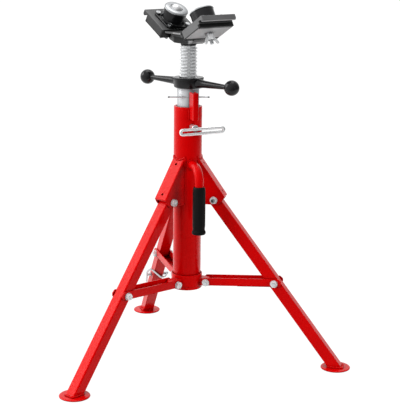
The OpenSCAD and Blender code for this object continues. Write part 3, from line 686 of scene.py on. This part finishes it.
def bolt_end(kind):
    """Washer, head and the dimple in it, or washer, lock nut and the thread's end, stacked up."""
    washer = [[bolt_r, 0], [washer_r, 0], [washer_r, washer_t], [bolt_r, washer_t]]
    wide, foot = 2 * hex_half, [(0, 0, 0), (0, hex_half * 0.97, 0)]
    if kind == "head":
        rows = [(0.5 * mm, wide, 0), (head_h, wide, 0.58), (head_h, hex_half * 0.95, 0),
                (head_h - 0.25 * mm, hex_half * 0.86, 0), (head_h - 0.25 * mm, 0, 0)]
        middle = rod(0.5 * hex_half, head_h - 0.4 * mm, head_h - 0.1 * mm, 32)
    else:
        rows = [(0.5 * mm, wide, 0.58), (head_h - 1.2 * mm, wide, 0.58),
                (head_h - 1.2 * mm, hex_half * 0.92, 0), (head_h - 0.2 * mm, hex_half * 0.86, 0),
                (head_h, hex_half * 0.78, 0), (head_h, bolt_r, 0), (head_h - 1 * mm, bolt_r, 0)]
        low, step = head_h - 1 * mm, 0.35 * mm
        crests = [[bolt_r * (0.86 if k % 2 else 1.0), low + k * step] for k in range(9)]
        middle = lathe([[0, low]] + crests + [[0, low + 8.4 * step]], 32)
    stacked = [grid + [0, 0, washer_t] for grid in (prism(foot + rows, hex_half), middle)]
    return [lathe(eased(washer, 0.5 * mm, 4), 48)] + stacked


def bolt(kind, body, leg, at, half_width, through=True):
    """A bolt across a leg's frame at (away, up): its nut stands on the side that the angles
    fall towards, its head on the other, and a plain shank joins them where it goes through.
    Its bright washers, head and nut are one piece, and its darker middle another."""
    radial, lateral, up = leg_axes(leg)
    centre = at[0] * radial + at[1] * up
    bright, steel = [], []
    for end, side in (("head", 1), ("nut", -1)):
        axes = [radial, -side * up, side * lateral]
        stack = [placed(grid, centre + side * half_width * lateral, axes) for grid in bolt_end(end)]
        bright += stack[:2]
        steel += stack[2:]
        if not through:
            stub = lathe([[bolt_r, leg_half + 0.5 * mm], [bolt_r, half_width]], 32)
            steel.append(placed(stub, centre, axes))
    if through:
        shank = lathe([[bolt_r, -half_width], [bolt_r, half_width]], 32)
        steel.append(placed(shank, centre, [radial, -up, lateral]))
    fit(skin(kind + "_set_" + leg, *bright), body, "zinc_steel", galvanised, kind + "_" + leg)
    fit(skin(kind + "_thread_" + leg, *steel), body, "zinc_steel", nut_steel)


brace_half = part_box("brace_rear")[1].x
for leg in legs:
    bolt("pivot_bolt", "column", leg, (pivot_r, pivot_z), bracket_half)
    bolt("lug_bolt", "collar", leg, (lug_r, lug_z), brace_half)
    bolt("brace_bolt", "brace_" + leg, leg, (brace_r, brace_z), brace_half, through=False)


# Wire lock pin: a zinc-plated shank pushed through the rear leg, with a sprung wire bow that
# wraps the leg's inner side and hooks over the shank's tip.
zinc_plate = finish("zinc_plate", [(0.66, 0.67, 0.68), (0.55, 0.56, 0.58)], (0.26, 0.40), 1.0,
                    ((0.50, 0.50, 0.50), 1.0), (700.0, 0.10), (0.3 * mm, 0.3))
wire_r, shank_r, wire_side = 2.2 * mm, 4 * mm, 14.5 * mm
bow_up, hook_down = 42 * mm, 24 * mm
pin_at = joints["leg_lock_pin_turn"]["pos_m"]
radial, lateral, up = leg_axes("rear")
down_leg, off_leg = np.cos(tilt) * radial - np.sin(tilt) * up, np.sin(tilt) * radial + np.cos(tilt) * up
wrap = leg_half + 1.8 * wire_r
corners = [[0, -leg_half - wire_side, 0], [-4 * wire_r, -wrap, -wrap],
           [-3 * wire_r, -leg_half / 2, -wrap], [-bow_up, leg_half + 0.8 * wire_side, wire_r - wrap],
           [-0.4 * bow_up, leg_half + wire_side, -2 * wire_r],
           [hook_down, leg_half + 0.6 * wire_side, -wire_r]]
wire = carried(eased(corners, 7 * mm, 9), wire_r, [0.55, 0.2, 0.81], 16)
shank = rod(shank_r, -leg_half - wire_side - 1.7 * mm, leg_half + 0.85 * wire_side, 32, 1.2 * mm, 5)
shank = placed(shank, [0, 0, 0], [[1, 0, 0], [0, 0, -1], [0, 1, 0]])
grids = [placed(grid, pin_at, [down_leg, lateral, off_leg]) for grid in (wire, shank)]
fit(skin("wire_lock_pin", *grids), "leg_lock_pin", "zinc_steel", zinc_plate, "leg_lock_pin")


# Inner tube: zinc-plated tube with a row of height holes through it. A blackened key and a
# thin cross rod near its top hold the screw from turning, and a washer lies on its end.
blackened = finish("blackened_steel", [(0.075, 0.075, 0.08), (0.045, 0.045, 0.05)], (0.30, 0.45), 1.0,
                   ((0.35, 0.35, 0.35), 1.0), (500.0, 0.15), (0.3 * mm, 0.5))
inner_low, inner_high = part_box("inner_tube")
inner_r, inner_wall, hole_pitch = inner_high.x, 3.5 * mm, 50 * mm
height_holes = [pin_z - k * hole_pitch for k in range(7)]
height_tube = bored_tube("height_tube", inner_r, inner_r - inner_wall, inner_low.z, inner_high.z,
                         pin_bore, height_holes)
fit(height_tube, "inner_tube", "zinc_steel", zinc_plate, "inner_tube")
fit(softened("screw_key", 0.6 * mm), "inner_tube", "dark_steel", blackened, "screw_key")
key_turn = np.radians(-104)
key_out, key_along = turned(key_turn)[:2]
rod_low, rod_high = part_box("key_rod")
rod_at = (np.array(rod_low) + np.array(rod_high)) / 2
rod_axes = [key_out, np.cross(key_along, key_out), key_along]
rod_r, rod_half, tip_len = 1.5 * mm, 44 * mm, 4 * mm
shaft = placed(rod(rod_r, tip_len - rod_half, rod_half - tip_len, 24), rod_at, rod_axes)
fit(skin("cross_rod", shaft), "inner_tube", "zinc_steel", zinc_plate, "key_rod")
tip = rod(rod_r, rod_half - tip_len, rod_half, 24, 0.7 * mm, 4)
tips = [placed(tip, rod_at, [key_out, s * rod_axes[1], s * key_along]) for s in (1, -1)]
fit(skin("cross_rod_tips", *tips), "inner_tube", "dark_steel", blackened)
washer_low, washer_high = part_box("thrust_washer")
ring_bore, ring_r, ring_t = 20 * mm, washer_high.x, 2 * mm
ring = eased([[ring_bore, 0.7 * mm], [ring_bore, 0], [ring_r, 0], [ring_r, ring_t], [ring_bore, ring_t],
              [ring_bore, 0.7 * mm]], 0.5 * mm, 4)
thrust_ring = skin("thrust_ring", lathe(ring, 96) + [0, 0, washer_low.z])
fit(thrust_ring, "inner_tube", "zinc_steel", zinc_plate, "thrust_washer")


# Lock pin: a 12 mm zinc-plated pin with a chamfered tip, welded behind the upper bar of a
# long loop of round rod, which is the handle that pulls it out.
pin_r, loop_rod = 6 * mm, 3.25 * mm
loop_y, loop_half, loop_rise = -56 * mm, 42.25 * mm, 5 * mm
loop_middle, loop_turn = [14.5 * mm, -6 * mm], np.radians(2)
turn = np.linspace(-np.pi / 2, np.pi / 2, 15)
right = np.stack([loop_half + loop_rise * np.cos(turn), loop_rise * np.sin(turn)], axis=1)
run = (np.vstack([right, -right, right[:1]]) + loop_middle) @ turned(loop_turn)[:2, :2]
loop = np.column_stack([run[:, 0], np.full(len(run), loop_y), pin_z + run[:, 1]])
pin_tip, pin_end = -3 * mm - tube_r, -loop_y - loop_rod / 2
pin = lathe([[0, pin_tip], [pin_r - 1.5 * mm, pin_tip], [pin_r, pin_tip + 2 * mm],
             [pin_r, pin_end], [0, pin_end]], 48)
pin = placed(pin, [0, 0, pin_z], [[1, 0, 0], [0, 0, 1], [0, -1, 0]])
turn = np.linspace(0, 2 * np.pi, 41)
seam = np.column_stack([pin_r * np.cos(turn), np.full(len(turn), loop_y + loop_rod + 0.2 * mm),
                        pin_z + pin_r * np.sin(turn)])
bright_zinc = finish("bright_zinc", [(0.92, 0.92, 0.93), (0.84, 0.85, 0.86)], (0.16, 0.28), 0.75,
                     ((0.7, 0.7, 0.7), 1.0), (700.0, 0.10), (0.3 * mm, 0.3))
grids = [carried(loop, loop_rod, [0, 1, 0], 24), pin, weld(seam, 1.2 * mm, [0, 1, 0])]
fit(skin("lock_pin_and_loop", *grids), "lock_pin", "zinc_steel", bright_zinc, "lock_pin")


# Handle nut: one black casting, an eight-sided hub under a round rim, with two tapering arms
# that swell into ball knobs. It turns on the thrust washer.
black_gloss = finish("black_gloss", [(0.004, 0.004, 0.005), (0.007, 0.007, 0.008)], (0.16, 0.30), 0.0,
                     ((0.06, 0.06, 0.06), 0.4), (260.0, 0.22), (0.7 * mm, 0.3), Specular_IOR_Level=0.3)
nut_low, nut_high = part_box("handle_nut")
nut_mid = (nut_low.z + nut_high.z) / 2
nut_h, nut_bore, nut_turn = 22 * mm, 19.35 * mm, np.radians(-62)
knob_reach, knob_r, root_r, neck_r = 125 * mm, 16 * mm, 9 * mm, 5 * mm
# Outlines of the hub (height, radius) and the rim (radius, height), in mm.
hub = [(1, 19.35), (0, 20.5), (0, 27), (0.6, 29), (2.4, 30.4), (17, 32), (17.8, 30), (18, 19.35),
       (1, 19.35)]
hub = prism([(z * mm, r * mm, 0) for z, r in hub], 30.6 * mm, 8, 96)
rim = np.array([[19.35, 19], [19.35, 17], [33, 17], [33, 22], [19.35, 22], [19.35, 19]]) * mm
rim = lathe(eased(rim, 1.4 * mm, 5), 96)
to_arm = np.linspace(0, 1, 24)
arm_start, arm_end = nut_bore + 4 * mm, knob_reach - np.sqrt(knob_r ** 2 - neck_r ** 2)
arm_x = arm_start + to_arm * (arm_end - arm_start)
swell = 2.2 * mm * np.exp(-(arm_x - 30 * mm) ** 2 / (9 * mm) ** 2)
arm_radius = root_r + (neck_r - root_r) * to_arm + swell
arm_radius += 1.0 * mm * np.exp(-(arm_x[-1] - arm_x) / (2 * mm))
ball_turn = np.linspace(np.pi - np.arcsin((neck_r + 1 * mm) / knob_r), 0, 26)
knob = np.stack([knob_r * np.sin(ball_turn), knob_reach + knob_r * np.cos(ball_turn)], axis=1)
arm = lathe(np.vstack([[0, arm_x[0]], np.stack([arm_radius, arm_x], axis=1), knob]), 40)
grids = [hub, rim] + [placed(arm, [0, 0, nut_h / 2], [[0, s, 0], [0, 0, 1], [s, 0, 0]]) for s in (1, -1)]
grids = [placed(grid, [0, 0, nut_mid - nut_h / 2], turned(nut_turn)) for grid in grids]
fit(skin("bar_nut", *grids), "handle_nut", "black_iron", black_gloss, "handle_nut", sharp=38)


# Jack screw: zinc-plated steel with a right-handed trapezoid thread and a keyway milled down
# its whole length. Its plain spigot carries the head.
screw_low, screw_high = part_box("jack_screw")
screw_r, thread_pitch, thread_depth = screw_high.x, 7 * mm, 3.6 * mm
keyway_half, keyway_floor = 2.8 * mm, screw_r - 3.8 * mm
spigot_r, spigot_len = 12 * mm, 22 * mm
shoulder_z = screw_high.z - spigot_len
height = np.linspace(screw_low.z, shoulder_z, int((shoulder_z - screw_low.z) / thread_pitch * 20))[:, None]
to_end = np.minimum(height - screw_low.z, shoulder_z - height)
full = np.clip(to_end / (0.6 * thread_pitch), 0, 1)


def thread_radius(turn):
    """Crest radius less depth times a trapezoid wave of the phase height / pitch - turn / 2 pi:
    flat crests and roots a third of the pitch wide, joined by straight flanks."""
    phase = (height / thread_pitch - turn / (2 * np.pi)) % 1
    wave = np.clip(3 * np.abs(phase - 0.5) - 0.25, 0, 1)
    return screw_r - thread_depth * (wave * full + 1 - full)


open_turn = np.linspace(0, 2 * np.pi, 91)[None, :]
radius = thread_radius(key_turn + open_turn)
mouth = np.arcsin(keyway_half / radius)
turn_here = mouth + open_turn / (2 * np.pi) * (2 * np.pi - 2 * mouth)
radius = thread_radius(key_turn + turn_here)
outer = polar(radius, turn_here, height)
floor_y = np.broadcast_to(np.array([-1, -0.33, 0.33, 1]) * keyway_half, (len(height), 4))
floor_x = np.minimum(keyway_floor, outer[:, -1:, 0]) * np.ones(4)
floor = np.stack([floor_x, floor_y, np.broadcast_to(height, floor_x.shape)], axis=-1)
thread = placed(np.concatenate([outer, floor], axis=1), [0, 0, 0], [key_out, key_along, [0, 0, 1]])
spigot = rod(spigot_r, shoulder_z - 1 * mm, screw_high.z, 48, 1 * mm, 4)
thread_steel = finish("thread_steel", [(0.88, 0.89, 0.90), (0.80, 0.81, 0.82)], (0.26, 0.38), 0.5,
                      ((0.9, 0.9, 0.9), 1.0), (600.0, 0.10), (0.4 * mm, 0.3), (3.2 * mm, 0.04))
screw = skin("threaded_screw", thread, spigot)
fit(screw, "jack_screw", "zinc_steel", thread_steel, "jack_screw", sharp=24)


# V head: grey castings. The yoke's two arms reach under the wings from the hub, and each
# wing has a solid block under its plate, then a groove and a lip along its outer edge. Their
# colour is painted lighter or darker by how each face looks, and painted shade, near black,
# lies in the groove, along the lower edges and round the hub.
wing_slope, head_turn, unit_up = np.radians(30), np.radians(20.4), 32 * mm
valley_half, valley_z, block_depth = 30 * mm, shoulder_z + 31 * mm, 20.4 * mm
# Bounds of the painted shade: the groove, the heel and toe of each wing, and the ring round the hub.
groove_start, groove_roof, heel_h, toe_len, by_hub_len = 57 * mm, 11.8 * mm, 3.6 * mm, 5.2 * mm, 12 * mm
hub_shade_r, hub_shade_down = 34 * mm, 12 * mm
along_pipe, across_valley = turned(head_turn)[:2]

# Painted light by facing: one scale of the colour for faces that look up, one for upright
# ones, one for undersides.
painted_facing_light, taken, given = effect("painted_light_by_facing", {"Up": 1.0, "Upright": 1.0, "Down": 1.0}, ["Value"])
looks_up = along(painted_facing_light, node(painted_facing_light, "TexCoord").outputs["Normal"], (0, 0, 1))
lower = ramp(painted_facing_light, looks_up, -0.5, -0.3, taken["Down"], taken["Upright"])
painted_facing_light.links.new(ramp(painted_facing_light, looks_up, 0.3, 0.45, lower, taken["Up"]), given["Value"])

# Place on a wing: how far up its slope a point lies, and how far off its upper face. Both
# wings are measured from the upright plane through the valley, by the distance from it.
on_wing, given = effect("place_on_wing", {}, ["Up slope", "Off face"])[::2]
place = node(on_wing, "TexCoord").outputs["Object"]
out = maths(on_wing, "ABSOLUTE", along(on_wing, place, across_valley))
corner = node(on_wing, "CombineXYZ", _0=out, _2=along(on_wing, place, (0, 0, 1)))
corner = node(on_wing, "VectorMath", {"operation": "SUBTRACT"}, _0=corner.outputs[0],
              _1=(valley_half, 0.0, valley_z))
for label, direction in (("Up slope", (np.cos(wing_slope), 0.0, np.sin(wing_slope))),
                         ("Off face", (-np.sin(wing_slope), 0.0, np.cos(wing_slope)))):
    on_wing.links.new(along(on_wing, corner.outputs[0], direction), given[label])


def both(tree, first, second):
    """Where two masks hold: the lesser of them."""
    return maths(tree, "MINIMUM", first, second)


def wing_shade(tree, **tones):
    """Painted light by facing, and painted shade, next to nothing, in the groove and along the lower
    edges.
    """
    up_slope, off_face = use(tree, on_wing)
    level = along(tree, node(tree, "TexCoord").outputs["Normal"], (0, 0, 1))
    in_groove = ramp(tree, off_face, -groove_roof, -groove_roof - 0.5 * mm)
    painted_dark = both(tree, ramp(tree, up_slope, groove_start, groove_start + 1.5 * mm), in_groove)
    upright = ramp(tree, maths(tree, "ABSOLUTE", level), 0.3, 0.2)
    at_heel = ramp(tree, off_face, heel_h - block_depth, heel_h - 1 * mm - block_depth)
    at_toe = ramp(tree, up_slope, toe_len, toe_len - 1 * mm)
    by_hub = ramp(tree, up_slope, by_hub_len, by_hub_len - 2 * mm)
    # Painted shade on upright faces at the heel, up-facing faces at the toe and undersides by the hub.
    for facing, area in ((upright, at_heel), (ramp(tree, level, 0.4, 0.3), at_toe),
                         (ramp(tree, level, -0.3, -0.5), by_hub)):
        painted_dark = maths(tree, "MAXIMUM", painted_dark, both(tree, facing, area))
    return ramp(tree, painted_dark, 0.0, 1.0, use(tree, painted_facing_light, **tones)[0], 0.02)


def yoke_shade(tree):
    """Painted light by facing, painted shade on the left arm, and near-black painted shade round the hub.
    """
    place = node(tree, "TexCoord").outputs["Object"]
    # Painted shade: the left arm's colour is scaled down.
    arm = ramp(tree, along(tree, place, across_valley), -2 * mm, 2 * mm, 1.0, 0.35)
    tone = maths(tree, "MULTIPLY", use(tree, painted_facing_light, Up=0.42, Upright=1.65, Down=1.2)[0], arm)
    level = node(tree, "VectorMath", {"operation": "MULTIPLY"}, _0=place, _1=(1.0, 1.0, 0.0))
    reach = node(tree, "VectorMath", {"operation": "LENGTH"}, _0=level.outputs[0]).outputs["Value"]
    height = along(tree, place, (0, 0, 1))
    # Painted shade, next to no colour, low down close round the hub.
    low = ramp(tree, height, valley_z - hub_shade_down, valley_z - hub_shade_down - 3 * mm)
    near = ramp(tree, reach, hub_shade_r, hub_shade_r - 4 * mm)
    return ramp(tree, both(tree, low, near), 0.0, 1.0, tone, 0.03)


# Painted light and shade for each head casting; the left wing's upright front is painted in shade.
painted_shading = {"head_yoke": yoke_shade,
          "wing_left": lambda tree: wing_shade(tree, Up=0.75, Upright=0.22, Down=2.6),
          "wing_right": lambda tree: wing_shade(tree, Up=0.66, Upright=0.82, Down=2.8)}
for name, shade in painted_shading.items():
    grey_satin_painted_light = finish("grey_satin_painted_light_" + name, [(0.15, 0.15, 0.152), (0.21, 0.21, 0.212)],
                        (0.34, 0.50), 0.0, ((0.22, 0.22, 0.22), 0.4), (220.0, 0.6), (0.8 * mm, 0.6),
                        (10 * mm, 0.05), shade, Specular_IOR_Level=0.25)
    fit(softened(name, 1.3 * mm), "head", "black_iron", grey_satin_painted_light, name)


# Ball transfer units: a black cup on a square flange, a pressed zinc cap rolled over its rim
# and a chromed load ball that turns in it, held down by four hex-headed flange screws.
chrome = finish("bearing_chrome", [(0.80, 0.80, 0.81), (0.74, 0.74, 0.75)], (0.05, 0.10), 1.0,
                ((0.7, 0.7, 0.7), 1.0), (900.0, 0.02), (0.3 * mm, 0.1))
cap_steel = finish("cap_steel", [(0.44, 0.45, 0.46), (0.35, 0.36, 0.37)], (0.24, 0.36), 1.0,
                   ((0.62, 0.62, 0.62), 1.0), (600.0, 0.12), (0.4 * mm, 0.3))
ball_r, ball_z, cup_r, cap_r, unit_h = 15 * mm, 24 * mm, 25 * mm, 26 * mm, 33 * mm
cap_low, bowl_r = unit_h - 5 * mm, ball_r + 0.3 * mm
lip_r, seat_r = (np.sqrt(bowl_r ** 2 - (level - ball_z) ** 2) for level in (unit_h, cap_low))
flange_half, flange_t, screw_half = 30 * mm, 4 * mm, 23.5 * mm


def rounded_square(half, corner, turn):
    """Radius of a square with its corners cut: the least of half / cos of the angle from a
    side's middle, and the cut's distance / cos of the angle from a corner."""
    side = half / np.cos((turn + np.pi / 4) % (np.pi / 2) - np.pi / 4)
    cut = (np.sqrt(2) * half - corner / np.sqrt(2)) / np.cos(turn % (np.pi / 2) - np.pi / 4)
    return np.minimum(side, cut)


turn = np.linspace(0, 2 * np.pi, 96, endpoint=False)
square = rounded_square(flange_half, 5 * mm, turn)
flange_rows = [(0, 0), (1, 0), (1, 0.8 * mm), (1, flange_t - 0.8 * mm), (0.985, flange_t), (0, flange_t)]
flange = np.stack([polar(share * square, turn, z) for share, z in flange_rows])
arc = np.linspace(-np.pi / 2, 0, 14)
bowl = np.stack([bowl_r * np.cos(arc), ball_z + bowl_r * np.sin(arc)], axis=1)
wall = eased([[0, 1 * mm], [cup_r, 1 * mm], [cup_r + 2.6 * mm, flange_t], [cup_r, flange_t + 2.4 * mm],
              [cup_r, cap_low], [bowl_r, cap_low], [bowl_r, ball_z + 0.1 * mm]], 1.2 * mm, 5)
cup = lathe(np.vstack([wall, bowl[::-1]]), 96)
cap = eased([[seat_r, cap_low + 0.4 * mm], [seat_r, cap_low], [cap_r, cap_low], [cap_r, unit_h - 3 * mm],
             [cap_r - 2.4 * mm, unit_h - 0.9 * mm], [cap_r - 7 * mm, unit_h], [lip_r, unit_h],
             [seat_r, cap_low + 0.4 * mm]], 1.8 * mm, 6)
arc = np.linspace(-np.pi / 2, np.pi / 2, 49)
ball = lathe(np.stack([ball_r * np.cos(arc), ball_z + ball_r * np.sin(arc)], axis=1), 96)
screw_rows = [(0, 0, 0), (0, 5.5 * mm, 0), (0.4 * mm, 9 * mm, 0), (4 * mm, 9 * mm, 0.58),
              (4 * mm, 4.7 * mm, 0), (3.7 * mm, 4.3 * mm, 0), (3.7 * mm, 0, 0)]
screw_head = prism(screw_rows, 4.98 * mm, 6, 36) + [0, 0, flange_t]
screw_shank = rod(3 * mm, -11 * mm, flange_t, 24)
screws = [grid + [x, y, 0] for x in (-screw_half, screw_half)
          for y in (-screw_half, screw_half) for grid in (screw_head, screw_shank)]
units = {}
for name, side in (("left", 1), ("right", -1)):
    up_slope = side * np.cos(wing_slope) * across_valley + [0, 0, np.sin(wing_slope)]
    off_wing = np.cross(along_pipe, up_slope) * side
    foot = side * valley_half * across_valley + [0, 0, valley_z]
    units["_" + name] = (foot + unit_up * up_slope, [side * along_pipe, up_slope, off_wing])


def on_unit(kind, side, *grids):
    """One skin of grids that are measured in the frame of a side's ball unit."""
    origin, axes = units[side]
    return skin(kind + side, *[placed(grid, origin, axes) for grid in grids])


for side in units:
    fit(on_unit("unit_cup", side, flange, cup), "head", "black_iron", black_gloss, "cup" + side)
    fit(on_unit("unit_cap", side, lathe(cap, 96)), "head", "zinc_steel", cap_steel, "cap" + side)
    load_ball = on_unit("load_ball", side, ball)
    fit(load_ball, "ball" + side, "bearing_chrome", chrome, "ball" + side, sharp=60)
    fit(on_unit("flange_screws", side, *screws), "head", "dark_steel", nut_steel, "unit_screws" + side)


# Studs and wing nuts: under each wing a zinc-plated hex spacer on a threaded stud, which the
# unit is drawn down by, and a galvanised cast wing nut.
stud_r, stud_len, spacer_low, spacer_half = 4 * mm, 44 * mm, -block_depth - 4 * mm, 7.36 * mm
crests = np.arange(0, 37)
thread = np.stack([stud_r * np.where(crests % 2, 0.86, 1.0), -stud_len + crests * 0.625 * mm], axis=1)
stud = lathe(np.vstack([[0, -stud_len], thread, [stud_r, 0], [0, 0]]), 32)
spacer = prism([(spacer_low, 0, 0), (spacer_low, 7.2 * mm, 0), (spacer_low + 0.6 * mm, 9 * mm, 0),
                (-block_depth, 9 * mm, 0), (-block_depth, 0, 0)], spacer_half)
for side in units:
    threaded_stud = on_unit("threaded_stud", side, stud, spacer)
    fit(threaded_stud, "head", "zinc_steel", zinc_plate, "unit_stud" + side)
    wing_nut = softened("wing_nut" + side, 1.1 * mm)
    fit(wing_nut, "wing_nut" + side, "zinc_steel", galvanised, "wing_nut" + side)
